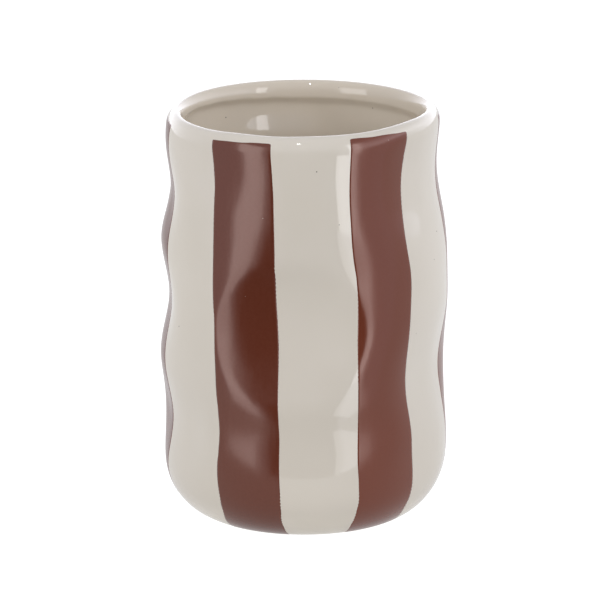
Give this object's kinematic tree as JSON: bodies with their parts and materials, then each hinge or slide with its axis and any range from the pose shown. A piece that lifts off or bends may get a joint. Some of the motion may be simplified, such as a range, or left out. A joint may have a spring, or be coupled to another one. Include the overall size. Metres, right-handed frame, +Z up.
{
  "type": "bathroom tumbler",
  "caption": "Round glazed stoneware tumbler with a softly hand-pinched wall, a rounded lip and broad upright stripes, for toothbrushes or rinsing.",
  "frame": {"origin": "centre of the foot, on the surface that the tumbler stands on", "axes": "+Z up along the cup's axis, -Y towards the front that the picture shows, +X to the right"},
  "size_m": [0.0799, 0.0789, 0.1166],
  "materials": {
    "cream_glaze": "glossy clear-coated cream glaze on stoneware",
    "brown_glaze": "satin reddish-brown glaze"
  },
  "bodies": {
    "root": {"tumbler_body": "cream_glaze", "glaze_band_1": "brown_glaze", "glaze_band_2": "brown_glaze", "glaze_band_3": "brown_glaze", "glaze_band_4": "brown_glaze", "glaze_band_5": "brown_glaze", "glaze_band_6": "brown_glaze"}
  },
  "joints": []
}
